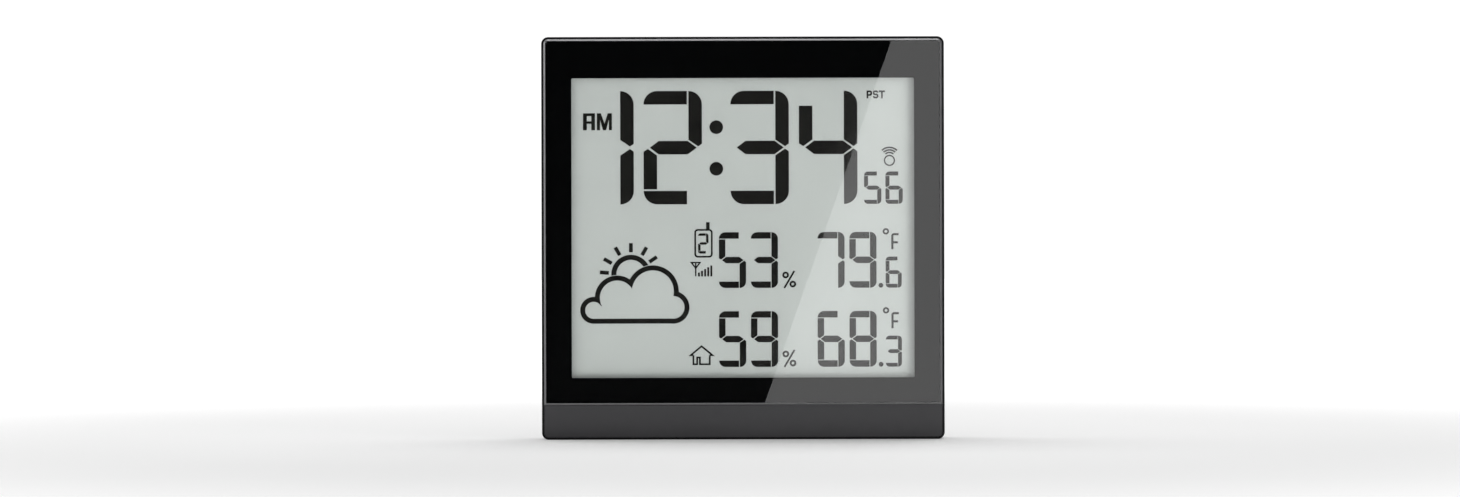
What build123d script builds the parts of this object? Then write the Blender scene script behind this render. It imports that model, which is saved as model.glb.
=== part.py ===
"""Home weather station for a wall or a table.

Frame: X to the right as the display is read, Y from the front to the back, Z up.
The origin is the middle of the base. All lengths are millimetres.
"""

import math
import os

from build123d import *

os.makedirs("parts", exist_ok=True)

# ---------------------------------------------------------------- driving dimensions

# Case
WIDTH = 230.0
HEIGHT = 230.0
DEPTH = 28.0
CORNER_R = 4.0
WALL = 2.2
RIM = 1.25  # lip of the front frame outside the trim ring
RIM_ROUND = 1.0
STRIP_TOP = 19.7  # height of the plain strip under the lens

# Layers from the front to the back, as places along Y
FRONT = -DEPTH / 2  # crest of the trim ring
BACK = DEPTH / 2
BEVEL = 0.85  # slope of the trim ring, from its crest down to the frame's face
FACE_Y = FRONT + BEVEL
SPLIT = 2.0  # seam between front frame and rear cover
LENS_SINK = 0.3
LENS_T = 2.0
MASK_T = 0.15
TAPE_T = 0.25
FLANGE_T = 1.6
GASKET_T = 0.6
FILM_T = 0.2
GLASS_T = 1.1
CELL_GAP = 0.1  # liquid crystal between the two glasses
REFLECTOR_T = 0.3
HOLDER_T = 1.6
BOARD_T = 1.6
LENS_Y = FRONT + LENS_SINK
MASK_Y = LENS_Y + LENS_T
TAPE_Y = MASK_Y + MASK_T
FLANGE_Y = TAPE_Y + TAPE_T
GASKET_Y = FLANGE_Y + FLANGE_T
FILM_Y = GASKET_Y + GASKET_T
FRONT_GLASS_Y = FILM_Y + FILM_T
CELL_Y = FRONT_GLASS_Y + GLASS_T
REAR_GLASS_Y = CELL_Y + CELL_GAP
REFLECTOR_Y = REAR_GLASS_Y + GLASS_T
HOLDER_Y = REFLECTOR_Y + REFLECTOR_T
BOARD_Y = HOLDER_Y + HOLDER_T
BOARD_BACK = BOARD_Y + BOARD_T
PLATE_Y = BACK - WALL  # inner face of the rear cover's back plate

# Trim ring and lens
FIT = 0.05  # gap round each piece set into the frame
TRIM_W = 1.05
POCKET_HALF = WIDTH / 2 - RIM
POCKET_TOP = HEIGHT - RIM
POCKET_R = CORNER_R - RIM
LENS_INSET = FIT + TRIM_W + FIT
LENS_HALF = POCKET_HALF - LENS_INSET
LENS_LOW = STRIP_TOP + LENS_INSET
LENS_TOP = POCKET_TOP - LENS_INSET
LENS_R = POCKET_R - LENS_INSET
LENS_FOOT = 0.3

# Plain panel under the lens
PANEL_T = 1.0
PANEL_EDGE = 0.2
CORE_WALL = 1.2  # frame's wall behind the panel

# Display
VIEW_HALF = 97.9  # half width of the clear window in the black print
VIEW_LOW = 35.2
VIEW_TOP = 206.4
VIEW_R = 0.8
LCD_HALF = 101.0
LCD_LOW = 30.5
LCD_TOP = 210.5
LEDGE = 3.5  # contact ledge of the front glass under the rear glass

# Rear cover
SHELL_HALF = WIDTH / 2 - 0.3
SHELL_TOP = HEIGHT - 0.3
PLATEAU_HALF = 110.5
PLATEAU_TOP = 225.5
PLATEAU_R = 6.0
SHELL_INNER = 3.1  # wall of the rear cover at the seam
TONGUE_DEEP = 1.5
TONGUE_T = 1.0

# Screws that close the case, three up each side
CASE_SCREWS = [(x, z) for x in (-106.5, 106.5) for z in (10, 115, 220)]
BOSS_R = 3.0
BOSS_END = 3.5
WELL_R = 3.2
WELL_WALL = 1.5
WELL_FLOOR = 5.5
# Screws that hold the display; the lower row holds the main board too
HOLDER_SCREWS = [(x, z) for x in (-72, -26, 26, 72) for z in (25.5, 216)]

# Main board and the contact strip under its lower edge
MAIN_HALF = 90.0
MAIN_LOW = 22.3
MAIN_TOP = 94.0
STRIP_LOW = LCD_LOW + 0.7
STRIP_HIGH = LCD_LOW + 2.9

# Table stand, folded into its recess
STAND_HALF = 31.5
STAND_LOW = 4.0
STAND_PIVOT_Y = 10.5
STAND_PIVOT_Z = 95.0
STAND_BARREL_R = 3.0
STAND_FRONT = 9.9
STAND_BACK = 13.6
RECESS_HALF = 32.5
RECESS_LOW = 3.0
RECESS_TOP = 102.0
RECESS_FLOOR = 7.0
PIN_R = 1.0

# Battery bay: three AA cells side by side, each along X
CELL_R = 7.25
CELL_LONG = 50.5
CELL_PITCH = 15.4
CELLS = 3
BAY_MID_Z = 133.6
CELLS_Y = 4.7
BAY_HALF = 28.9
BAY_LOW = BAY_MID_Z - 23.3
BAY_TOP = BAY_MID_Z + 23.3
BAY_FLOOR = -2.7
BAY_WALL = 1.5
CONTACT_T = 0.4
DOOR_HALF = 30.2
DOOR_LOW = 107.9
DOOR_TOP = 159.2
DOOR_LEDGE = 12.0
DOOR_FRONT = 12.3
DOOR_BACK = 13.8
DOOR_TABS_X = [-18, 18]
TAB_HALF = 4.0
TAB_LONG = 2.0
TAB_BACK = 13.2

# Keyhole for a wall screw
KEYHOLE_Z = 197.0
KEYHOLE_R = 5.0
SLOT_W = 5.2
SLOT_TOP = 207.0
HEAD_POCKET_FLOOR = 7.5

# Keys on the back
KEY_X = -78.0
KEY_LOW_Z = 74.0
KEY_PITCH = 16.5
RESET_Z = 57.0
KEY_W = 8.0
KEY_H = 5.0
KEY_R = 1.2
KEY_GAP = 0.3
KEY_BACK = 13.6
RESET_R = 0.9
PANEL_Y = 13.0  # floor of the shallow panel that the keys stand in
KEY_BOARD_Y = 3.4
SWITCH_Y = KEY_BOARD_Y + BOARD_T
SWITCH_BACK = SWITCH_Y + 3.5
KEY_NAMES = ["set", "plus", "minus", "channel", "memory", "units", "signal"]
KEYS_Z = [KEY_LOW_Z + KEY_PITCH * n for n in range(len(KEY_NAMES))]
KEY_POSTS_Z = [KEY_LOW_Z + KEY_PITCH * (n - 0.5) for n in (0, 3, 6)]

# Sounder, climate sensor and radio aerial
SOUNDER_X = 78.0
SOUNDER_Z = 96.0
SOUNDER_R = 11.0
SENSOR_X = 84.0
SENSOR_Z = 44.0
VENT_PITCH = 4.4
VENTS = 5
ROD_X = 62.0
ROD_Y = 3.5
ROD_Z = 190.0
ROD_R = 4.5
ROD_LONG = 64.0

# Sockets on the main board, as (x, z): battery, aerial, sounder, sensor and keys
SOCKETS = [(-8, 84), (ROD_X, 84), (SOUNDER_X, 66), (SENSOR_X, 34), (KEY_X, 36)]
SOCKET_W = 8.0
SOCKET_T = 4.5
SOCKET_H = 4.4


# ---------------------------------------------------------------- helpers


def layer(y):
    """The plane across the case at y, drawn as the front is seen: x right, z up."""
    return Plane.XZ.offset(-y)


def window(half_width, low, high, radius=0.0, foot=None, mode=Mode.ADD):
    """A rectangle about x = 0 in the open sketch. foot rounds its lower corners, else radius does."""
    with BuildSketch(mode=Mode.PRIVATE) as outline:
        with Locations((0, (low + high) / 2)):
            Rectangle(2 * half_width, high - low)
        for corners, rounding in ((-1, radius), (0, radius if foot is None else foot)):
            if rounding > 0:
                fillet(outline.vertices().group_by(Axis.Y)[corners], rounding)
    add(outline.sketch_local, mode=mode)


def block(x, y, z, mode=Mode.ADD):
    """A box in the open part, each axis given as (low, high)."""
    with Locations(((x[0] + x[1]) / 2, (y[0] + y[1]) / 2, (z[0] + z[1]) / 2)):
        Box(x[1] - x[0], y[1] - y[0], z[1] - z[0], mode=mode)


def peg(x, z, y, radius, mode=Mode.ADD):
    """A round peg or hole along Y in the open part, with y given as (low, high)."""
    with Locations(Location((x, (y[0] + y[1]) / 2, z), (90, 0, 0))):
        Cylinder(radius, y[1] - y[0], mode=mode)


def bar(y, z, x, radius, mode=Mode.ADD):
    """A round bar or hole along X in the open part, with x given as (low, high)."""
    with Locations(Location(((x[0] + x[1]) / 2, y, z), (0, 90, 0))):
        Cylinder(radius, x[1] - x[0], mode=mode)


def write(builder, name):
    """Labels a finished piece and writes it to its own file."""
    builder.part.label = name
    export_step(builder.part, f"parts/{name}.step")


def plate(y, thickness, outline, mode=Mode.ADD):
    """A flat plate in the open part. outline is (half width, low, high) and perhaps the radii."""
    with BuildSketch(layer(y)) as face:
        window(*outline)
    extrude(face.sketch, amount=-thickness, mode=mode)


def ring_plate(y, thickness, outer, inner):
    """A flat frame in the open part, its two outlines given as for plate."""
    with BuildSketch(layer(y)) as face:
        window(*outer)
        window(*inner, mode=Mode.SUBTRACT)
    extrude(face.sketch, amount=-thickness)


def screw(x, z, seat, head_r, head_t, shank_r, length, to_front=True):
    """A cross-head screw in the open part: its head sits on seat and its shank goes beyond."""
    way = 1 if to_front else -1
    head = sorted((seat, seat + way * head_t))
    slot = sorted((seat + way * head_t * 0.5, seat + way * head_t))
    peg(x, z, head, head_r)
    peg(x, z, sorted((seat, seat - way * length)), shank_r)
    reach = 0.62 * head_r
    width = 0.13 * head_r
    block((x - reach, x + reach), slot, (z - width, z + width), Mode.SUBTRACT)
    block((x - width, x + width), slot, (z - reach, z + reach), Mode.SUBTRACT)


# ---------------------------------------------------------------- front frame

with BuildPart() as front_frame:
    plate(FACE_Y, SPLIT - FACE_Y, (WIDTH / 2, 0, HEIGHT, CORNER_R))
    fillet(front_frame.faces().sort_by(Axis.Y)[0].edges(), RIM_ROUND)
    plate(GASKET_Y, SPLIT - GASKET_Y, (WIDTH / 2 - WALL, WALL, HEIGHT - WALL, CORNER_R - WALL),
          Mode.SUBTRACT)
    plate(FACE_Y, FLANGE_Y - FACE_Y, (POCKET_HALF, STRIP_TOP, POCKET_TOP, POCKET_R, 0), Mode.SUBTRACT)
    plate(FACE_Y, PANEL_T, (POCKET_HALF, RIM, POCKET_TOP, POCKET_R), Mode.SUBTRACT)
    plate(FLANGE_Y, FLANGE_T, (VIEW_HALF + 1.4, VIEW_LOW - 1.2, VIEW_TOP + 1.4), Mode.SUBTRACT)
    # The frame is cored behind the panel, so that its wall is even
    core_y = FACE_Y + PANEL_T + CORE_WALL
    plate(core_y, GASKET_Y - core_y, (98, WALL + 2, STRIP_TOP - 2), Mode.SUBTRACT)
    # Ribs that locate the display glass
    ring_plate(GASKET_Y, HOLDER_Y - GASKET_Y, (LCD_HALF + 1.5, LCD_LOW - 1.5, LCD_TOP + 1.5),
               (LCD_HALF + 0.2, LCD_LOW - 0.2, LCD_TOP + 0.2))
    for boss_x, boss_z in HOLDER_SCREWS:
        peg(boss_x, boss_z, (GASKET_Y, HOLDER_Y), 2.6)
        peg(boss_x, boss_z, (GASKET_Y + 0.4, HOLDER_Y), 1.05, Mode.SUBTRACT)
    for boss_x, boss_z in CASE_SCREWS:
        peg(boss_x, boss_z, (GASKET_Y, BOSS_END), BOSS_R)
        peg(boss_x, boss_z, (GASKET_Y + 2, BOSS_END), 1.3, Mode.SUBTRACT)
write(front_frame, "front_frame")

with BuildPart() as lower_panel:
    plate(FACE_Y, PANEL_T, (POCKET_HALF - FIT, RIM + FIT, STRIP_TOP - FIT, 0, POCKET_R - FIT))
    chamfer(lower_panel.faces().sort_by(Axis.Y)[0].edges(), PANEL_EDGE)
write(lower_panel, "lower_panel")

# ---------------------------------------------------------------- trim, lens, print, tape

with BuildPart() as lens_trim:
    ring_plate(FRONT, FLANGE_Y - FRONT,
               (POCKET_HALF - FIT, STRIP_TOP + FIT, POCKET_TOP - FIT, POCKET_R - FIT, 0),
               (LENS_HALF + FIT, LENS_LOW - FIT, LENS_TOP + FIT, LENS_R + FIT, LENS_FOOT + FIT))
    crest = lens_trim.faces().sort_by(Axis.Y)[0]
    chamfer(crest.outer_wire().edges(), BEVEL)
write(lens_trim, "lens_trim")

with BuildPart() as front_lens:
    plate(LENS_Y, LENS_T, (LENS_HALF, LENS_LOW, LENS_TOP, LENS_R, LENS_FOOT))
    chamfer(front_lens.faces().sort_by(Axis.Y)[0].edges(), 0.2)
write(front_lens, "front_lens")

with BuildPart() as lens_print:
    ring_plate(MASK_Y, MASK_T, (LENS_HALF - 0.3, LENS_LOW + 0.3, LENS_TOP - 0.3, LENS_R - 0.3),
               (VIEW_HALF, VIEW_LOW, VIEW_TOP, VIEW_R))
write(lens_print, "lens_print")

with BuildPart() as lens_tape:
    ring_plate(TAPE_Y, TAPE_T, (LENS_HALF - 1, LENS_LOW + 1, LENS_TOP - 1),
               (VIEW_HALF + 2.5, VIEW_LOW - 2.5, VIEW_TOP + 2.5))
write(lens_tape, "lens_tape")

# ---------------------------------------------------------------- display stack

with BuildPart() as lcd_gasket:
    ring_plate(GASKET_Y, GASKET_T, (LCD_HALF - 0.4, LCD_LOW + 0.4, LCD_TOP - 0.4),
               (VIEW_HALF + 1.2, VIEW_LOW - 1.0, VIEW_TOP + 1.2))
write(lcd_gasket, "lcd_gasket")

with BuildPart() as lcd_front_film:
    plate(FILM_Y, FILM_T, (LCD_HALF - 0.6, LCD_LOW + 0.6, LCD_TOP - 0.6))
write(lcd_front_film, "lcd_front_film")

with BuildPart() as lcd_front_glass:
    plate(FRONT_GLASS_Y, GLASS_T, (LCD_HALF, LCD_LOW, LCD_TOP))
write(lcd_front_glass, "lcd_front_glass")

with BuildPart() as lcd_seal:
    ring_plate(CELL_Y, CELL_GAP, (LCD_HALF - 0.5, LCD_LOW + LEDGE + 0.2, LCD_TOP - 0.5),
               (LCD_HALF - 1.7, LCD_LOW + LEDGE + 1.0, LCD_TOP - 1.7))
write(lcd_seal, "lcd_seal")

with BuildPart() as lcd_rear_glass:
    plate(REAR_GLASS_Y, GLASS_T, (LCD_HALF, LCD_LOW + LEDGE, LCD_TOP))
write(lcd_rear_glass, "lcd_rear_glass")

with BuildPart() as lcd_reflector:
    plate(REFLECTOR_Y, REFLECTOR_T, (LCD_HALF - 0.6, LCD_LOW + LEDGE + 0.2, LCD_TOP - 0.6))
write(lcd_reflector, "lcd_reflector")

# ---------------------------------------------------------------- display segments

# Which of the seven segments each figure lights: a top, b and c right, d base, e and f left, g middle
FIGURES = {
    "1": "bc", "2": "abdeg", "3": "abcdg", "4": "bcfg", "5": "acdfg",
    "6": "acdefg", "7": "abc", "8": "abcdefg", "9": "abcdfg",
}
TIME_SIZE = (33.4, 64.85, 7.7)  # width, height and stroke of the time's figures
READING_SIZE = (15.5, 31.9, 3.68)
SMALL_SIZE = (9.85, 18.5, 2.28)
TENTH_SIZE = (9.15, 17.7, 2.15)
BADGE_SIZE = (5.95, 11.55, 1.4)
TIME_Z = 134.35
INDOOR_Z = 41.2
OUTDOOR_Z = 86.4
ICON_LINE = 1.0


def segment_outline(name, wide, high, stroke):
    """Corners of one segment from the figure's lower left corner; a third value is an arc's mid."""
    gap = 0.115 * stroke
    mid = high / 2
    bend = stroke * (1 - math.sqrt(0.5))
    if name in "de":
        upper = segment_outline({"d": "a", "e": "f"}[name], wide, high, stroke)
        return [tuple((x, high - z) for x, z in edge) for edge in upper]
    if name == "c":
        return [tuple((x, high - z) for x, z in edge)
                for edge in segment_outline("b", wide, high, stroke)]
    if name == "a":
        inner = wide - stroke - gap
        return [((0, high - stroke), (bend, high - bend), (stroke, high)),
                ((stroke, high), (inner, high)), ((inner, high), (inner, high - stroke)),
                ((inner, high - stroke), (0, high - stroke))]
    if name == "b":
        inner = wide - stroke
        foot = [(wide, high - stroke), (wide, mid + 0.29 * stroke),
                (wide - 0.28 * stroke, mid + 0.09 * stroke), (inner, mid + 0.58 * stroke),
                (inner, high)]
        arc = ((inner, high), (wide - bend, high - bend), (wide, high - stroke))
        return [arc, *zip(foot, foot[1:])]
    if name == "f":
        top = high - stroke - gap
        points = [(0, top), (stroke, top), (stroke, mid + 0.58 * stroke),
                  (0.32 * stroke, mid + 0.09 * stroke), (0, mid + 0.29 * stroke), (0, top)]
        return list(zip(points, points[1:]))
    points = [(0.46 * stroke, mid), (1.12 * stroke, mid + stroke / 2),
              (wide - 1.06 * stroke, mid + stroke / 2), (wide - 0.38 * stroke, mid),
              (wide - 1.06 * stroke, mid - stroke / 2), (1.12 * stroke, mid - stroke / 2),
              (0.46 * stroke, mid)]
    return list(zip(points, points[1:]))


def figure(shown, x, z, size):
    """The lit segments of one figure in the open sketch, its lower left corner at x, z."""
    for name in FIGURES[shown]:
        with BuildLine() as outline:
            for edge in segment_outline(name, *size):
                points = [(x + px, z + pz) for px, pz in edge]
                if len(points) == 3:
                    ThreePointArc(*points)
                else:
                    Line(*points)
        make_face(outline.edges())


def stroke_path(width, *points):
    """A line of even width through points, in the open sketch."""
    with BuildLine() as path:
        Polyline(*points)
    trace(path.edges(), line_width=width)


def curved_path(width, radius, *points):
    """The same, with its corners rounded to one radius."""
    with BuildLine() as path:
        FilletPolyline(*points, radius=radius)
    trace(path.edges(), line_width=width)


def ring(x, z, outer, line):
    """A thin ring in the open sketch."""
    with Locations((x, z)):
        Circle(outer)
        Circle(outer - line, mode=Mode.SUBTRACT)


def percent(x, z):
    """A per cent sign, 8 wide and 10 high."""
    stroke_path(1.05, (x + 1.1, z - 0.1), (x + 6.9, z + 9.7))
    ring(x + 1.9, z + 7.35, 1.92, 1.12)
    ring(x + 6.0, z + 2.15, 1.92, 1.12)


def degrees_f(x, z):
    """A degree ring and a capital F beside it."""
    stem = x + 3.7
    top = z - 1.65
    ring(x, z, 1.82, 1.0)
    curved_path(1.2, 0.9, (stem, z - 10.3), (stem, top), (x + 7.3, top))
    stroke_path(1.2, (stem, z - 6.3), (x + 6.85, z - 6.3))


def reading(z, humidity, temperature):
    """One row of the display: humidity in per cent and temperature to a tenth."""
    figure(humidity[0], -13.75, z, READING_SIZE)
    figure(humidity[1], 4.5, z, READING_SIZE)
    percent(22.5, z)
    figure(temperature[0], 42.65, z, READING_SIZE)
    figure(temperature[1], 60.9, z, READING_SIZE)
    with Locations((78.9, z + 1.35)):
        Circle(1.35)
    figure(temperature[2], 81.65, z, TENTH_SIZE)
    degrees_f(81.8, z + 32.2)


def cloud_shape(inset, mode=Mode.ADD):
    """The filled outline of the forecast cloud, shrunk by inset."""
    lobes = [(-85.5, 73.8, 7.7), (-72.0, 80.9, 12.8), (-51.6, 84.6, 14.85), (-40.0, 75.4, 9.35)]
    with BuildSketch(layer(CELL_Y), mode=Mode.PRIVATE) as cloud:
        for x, z, radius in lobes:
            with Locations((x, z)):
                Circle(radius - inset)
        base = 66.15 + inset
        with BuildLine() as middle:
            Polyline((-85.5, base), (-40.0, base), (-40.0, 75.4), (-51.6, 84.6), (-72.0, 80.9),
                     (-85.5, 73.8), close=True)
        make_face(middle.edges())
    add(cloud.sketch_local, mode=mode)


def forecast_sun():
    """The sun behind the cloud: an arc of a ring and its rays."""
    x, z, outer, line = -64.1, 94.3, 11.25, 2.9
    ray_at = 15.3
    ring(x, z, outer, line)
    for angle in (176, 150, 120, 90, 60, 34):
        across = math.cos(math.radians(angle))
        up = math.sin(math.radians(angle))
        with Locations(Location((x + ray_at * across, z + ray_at * up, 0), (0, 0, angle))):
            Rectangle(5.2, 2.15)


def remote_badge():
    """The remote sensor's outline with its channel figure, and the radio signal bars."""
    with Locations((-22.55, 112.0)):
        RectangleRounded(10.5, 16.35, 2.0)
        RectangleRounded(8.5, 14.35, 1.1, mode=Mode.SUBTRACT)
    stroke_path(2.05, (-20.05, 119.9), (-20.05, 124.1))
    figure("2", -25.65, 106.15, BADGE_SIZE)
    mast = -27.05
    stroke_path(0.8, (mast - 2.5, 101.0), (mast + 2.5, 101.0), (mast, 97.75), (mast - 2.5, 101.0))
    stroke_path(0.8, (mast, 101.0), (mast, 93.15))
    for step in range(5):
        tall = 2.25 + step
        with Locations((-25.2 + 1.77 * step, 93.05 + tall / 2)):
            Rectangle(1.08, tall)


def house():
    """The outline of a house, for the indoor readings."""
    wall_left, wall_right, eaves, floor = -28.5, -19.15, 47.95, 42.8
    door_left, door_right, door_top = -26.35, -24.75, 46.65
    stroke_path(ICON_LINE, (wall_left, eaves), (-30.05, eaves), (-23.8, 53.1), (-17.55, eaves),
                (wall_right, eaves))
    stroke_path(ICON_LINE, (wall_left, eaves), (wall_left, floor), (door_left, floor),
                (door_left, door_top), (door_right, door_top), (door_right, floor),
                (wall_right, floor), (wall_right, eaves))


def time_signal():
    """Three arcs over a ring and a dot: the radio time signal is received."""
    x, z = 83.95, 159.2
    for radius in (3.3, 4.75, 6.2):
        with BuildLine() as wave:
            CenterArc((x, z + 1.25), radius, 46, 88)
        trace(wave.edges(), line_width=0.85)
    with Locations((x, z)):
        Circle(1.2)
    ring(x, z, 3.2, 0.75)


def half_day():
    """AM in square letters, 16.5 wide and 9.7 high."""
    low, top = 176.85, 186.55
    Polygon((-91.35, low), (-91.35, top), (-84.5, top), (-84.5, low), (-86.6, low), (-86.6, 180.55),
            (-89.15, 180.55), (-89.15, low), align=None)
    Polygon((-89.15, 181.95), (-89.15, 184.9), (-86.6, 184.9), (-86.6, 181.95), align=None,
            mode=Mode.SUBTRACT)
    Polygon((-83.4, low), (-83.4, top), (-81.1, top), (-79.05, 180.6), (-77.15, top), (-74.8, top),
            (-74.8, low), (-76.55, low), (-76.55, 182.8), (-78.15, low), (-79.95, low),
            (-81.6, 182.8), (-81.6, low), align=None)


def time_zone():
    """A three-letter time zone, 10.5 wide and 4.5 high."""
    low, mid, top, line, bend = 195.2, 197.0, 198.75, 0.95, 0.78
    stroke_path(line, (71.45, low - line / 2), (71.45, top + line / 2))
    curved_path(line, bend, (71.45, top), (73.6, top), (73.6, mid - 0.35), (71.45, mid - 0.35))
    curved_path(line, bend, (77.25, top - 0.8), (77.25, top), (75.0, top), (75.0, mid), (77.25, mid),
                (77.25, low), (75.0, low), (75.0, low + 0.8))
    stroke_path(line, (78.0, top), (81.5, top))
    stroke_path(line, (79.75, top), (79.75, low - line / 2))


with BuildPart() as lcd_segments:
    with BuildSketch(layer(CELL_Y)):
        for shown, figure_x in (("1", -95.75), ("2", -56.7), ("3", -7.0), ("4", 32.2)):
            figure(shown, figure_x, TIME_Z, TIME_SIZE)
        with Locations((-15.1, 178.45), (-15.1, 154.65)):
            Circle(3.92)
        figure("5", 69.4, TIME_Z, SMALL_SIZE)
        figure("6", 81.65, TIME_Z, SMALL_SIZE)
        reading(OUTDOOR_Z, "53", "796")
        reading(INDOOR_Z, "59", "683")
    extrude(amount=-CELL_GAP)
    with BuildSketch(layer(CELL_Y)):
        forecast_sun()
        cloud_shape(-0.3, Mode.SUBTRACT)
    extrude(amount=-CELL_GAP)
    with BuildSketch(layer(CELL_Y)):
        cloud_shape(0.0)
        cloud_shape(2.85, Mode.SUBTRACT)
    extrude(amount=-CELL_GAP)
    for draw in (remote_badge, house, time_signal, half_day, time_zone):
        with BuildSketch(layer(CELL_Y)):
            draw()
        extrude(amount=-CELL_GAP)
write(lcd_segments, "lcd_segments")

# ---------------------------------------------------------------- display holder, contact strip

with BuildPart() as lcd_holder:
    with BuildSketch(layer(HOLDER_Y)):
        window(LCD_HALF + 2, LCD_LOW - 1.8, LCD_TOP + 1.8, 2)
        with Locations(*HOLDER_SCREWS):
            Rectangle(9, 9)
            Circle(1.4, mode=Mode.SUBTRACT)
        with Locations((0, 155)):
            with GridLocations(62, 38, 3, 2):
                RectangleRounded(54, 30, 4, mode=Mode.SUBTRACT)
        window(95.3, STRIP_LOW - 0.2, STRIP_HIGH + 0.2, mode=Mode.SUBTRACT)
    extrude(amount=-HOLDER_T)
    # Hooks over the main board's upper edge
    for hook_x in (-60, 40):
        hook = (hook_x - 4, hook_x + 4)
        block(hook, (BOARD_Y - 0.1, BOARD_BACK + 1.4), (MAIN_TOP + 0.2, MAIN_TOP + 1.8))
        block(hook, (BOARD_BACK + 0.1, BOARD_BACK + 1.4), (MAIN_TOP - 1.2, MAIN_TOP + 0.2))
write(lcd_holder, "lcd_holder")

with BuildPart() as contact_strip:
    plate(CELL_Y, BOARD_Y - CELL_Y, (95, STRIP_LOW, STRIP_HIGH))
write(contact_strip, "contact_strip")

# ---------------------------------------------------------------- main board and what it carries

with BuildPart() as main_board:
    with BuildSketch(layer(BOARD_Y)):
        window(MAIN_HALF, MAIN_LOW, MAIN_TOP, 2)
        with Locations(*HOLDER_SCREWS):
            Circle(1.4, mode=Mode.SUBTRACT)
    extrude(amount=-BOARD_T)
write(main_board, "main_board")

with BuildPart() as controller_chips:
    for chip_x in (-34, 20):
        peg(chip_x, 62, (BOARD_BACK, BOARD_BACK + 1.6), 7.5)
    chamfer(controller_chips.faces().sort_by(Axis.Y)[-2:].edges(), 1.1)
write(controller_chips, "controller_chips")

with BuildPart() as board_components:
    # Two rows of small resistors and capacitors beside each chip
    for chip_x in (-58, -8):
        for step in range(4):
            for part_z in (48, 76):
                with Locations((chip_x + 4 * step, BOARD_BACK + 0.4, part_z)):
                    Box(2.0, 0.8, 1.3)
    for can_x in (-7, 3):
        peg(can_x, 62, (BOARD_BACK, BOARD_BACK + 5.5), 2.5)
    for plug_x, plug_z in SOCKETS:
        with Locations((plug_x, BOARD_BACK + SOCKET_T / 2, plug_z)):
            Box(SOCKET_W, SOCKET_T, SOCKET_H)
write(board_components, "board_components")

with BuildPart() as clock_crystal:
    bar(BOARD_BACK + 1.2, 46, (-37, -31), 1.2)
    bar(BOARD_BACK + 1.2, 46, (-37.5, -37), 1.0)
write(clock_crystal, "clock_crystal")

RADIO_FRONT = -0.6
RADIO_BACK = 0.4
with BuildPart() as receiver_board:
    block((38, 68), (RADIO_FRONT, RADIO_BACK), (38, 56))
    block((44, 50), (RADIO_BACK, RADIO_BACK + 1), (41, 47))
    peg(60, 44, (RADIO_BACK, RADIO_BACK + 2.2), 3.2)
    for pin in range(6):
        with Locations((42 + 2.54 * pin, (BOARD_BACK + RADIO_FRONT) / 2, 39.5)):
            Box(0.6, RADIO_FRONT - BOARD_BACK, 0.6)
write(receiver_board, "receiver_board")

COIL_WIRE_R = 0.35
COIL_R = 2.2
with BuildPart() as receiver_coil:
    with BuildLine() as turns:
        Helix(pitch=1.6, height=11.2, radius=COIL_R, direction=(1, 0, 0),
              center=(44, RADIO_BACK + COIL_R + COIL_WIRE_R, 52))
    with BuildSketch(Plane(origin=turns.line @ 0, z_dir=turns.line % 0)):
        Circle(COIL_WIRE_R)
    sweep(path=turns.line, is_frenet=True)
write(receiver_coil, "receiver_coil")

# ---------------------------------------------------------------- aerial of the time signal

with BuildPart() as aerial_rod:
    bar(ROD_Y, ROD_Z, (ROD_X - ROD_LONG / 2, ROD_X + ROD_LONG / 2), ROD_R)
    chamfer(aerial_rod.edges().filter_by(GeomType.CIRCLE), 0.5)
write(aerial_rod, "aerial_rod")

with BuildPart() as aerial_coil:
    bar(ROD_Y, ROD_Z, (ROD_X - 13, ROD_X + 13), ROD_R + 1.2)
    bar(ROD_Y, ROD_Z, (ROD_X - 13, ROD_X + 13), ROD_R, Mode.SUBTRACT)
write(aerial_coil, "aerial_coil")

with BuildPart() as aerial_clips:
    for clip_x in (ROD_X - 24, ROD_X + 24):
        block((clip_x - 2.5, clip_x + 2.5), (BOARD_Y, ROD_Y + 1.5), (ROD_Z - 6.2, ROD_Z + 6.2))
    bar(ROD_Y, ROD_Z, (ROD_X - 40, ROD_X + 40), ROD_R, Mode.SUBTRACT)
write(aerial_clips, "aerial_clips")

# ---------------------------------------------------------------- sounder and climate sensor

with BuildPart() as sounder:
    peg(SOUNDER_X, SOUNDER_Z, (PLATE_Y - 4.5, PLATE_Y), SOUNDER_R)
    peg(SOUNDER_X, SOUNDER_Z, (PLATE_Y - 2.0, PLATE_Y), SOUNDER_R - 2, Mode.SUBTRACT)
write(sounder, "sounder")

SENSOR_FRONT = 7.0
SENSOR_BACK = 8.0
STAKES = [(SENSOR_X - 4.5, SENSOR_Z + 13.5), (SENSOR_X + 4.5, SENSOR_Z - 13.5)]
with BuildPart() as sensor_board:
    block((SENSOR_X - 7, SENSOR_X + 7), (SENSOR_FRONT, SENSOR_BACK), (SENSOR_Z - 16, SENSOR_Z + 16))
    for stake_x, stake_z in STAKES:
        peg(stake_x, stake_z, (SENSOR_FRONT, SENSOR_BACK), 0.95, Mode.SUBTRACT)
write(sensor_board, "sensor_board")

with BuildPart() as climate_sensor:
    with Locations((SENSOR_X, SENSOR_BACK + 0.8, SENSOR_Z)):
        Box(5, 1.6, 5)
    peg(SENSOR_X, SENSOR_Z, (SENSOR_BACK + 1.0, SENSOR_BACK + 1.6), 1.4, Mode.SUBTRACT)
write(climate_sensor, "climate_sensor")

# ---------------------------------------------------------------- thin wires

WIRE_R = 0.45
LEAD_R = 0.6
SOCKET_MID = BOARD_BACK + SOCKET_T / 2
SOCKET_TOP = SOCKET_H / 2


def wire(radius, bend, *points):
    """A round wire through points in the open part, its corners bent to one radius."""
    with BuildLine() as route:
        FilletPolyline(*points, radius=bend)
    with BuildSketch(Plane(origin=route.line @ 0, z_dir=route.line % 0)) as section:
        Circle(radius)
    sweep(section.sketch, path=route.line)


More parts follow.
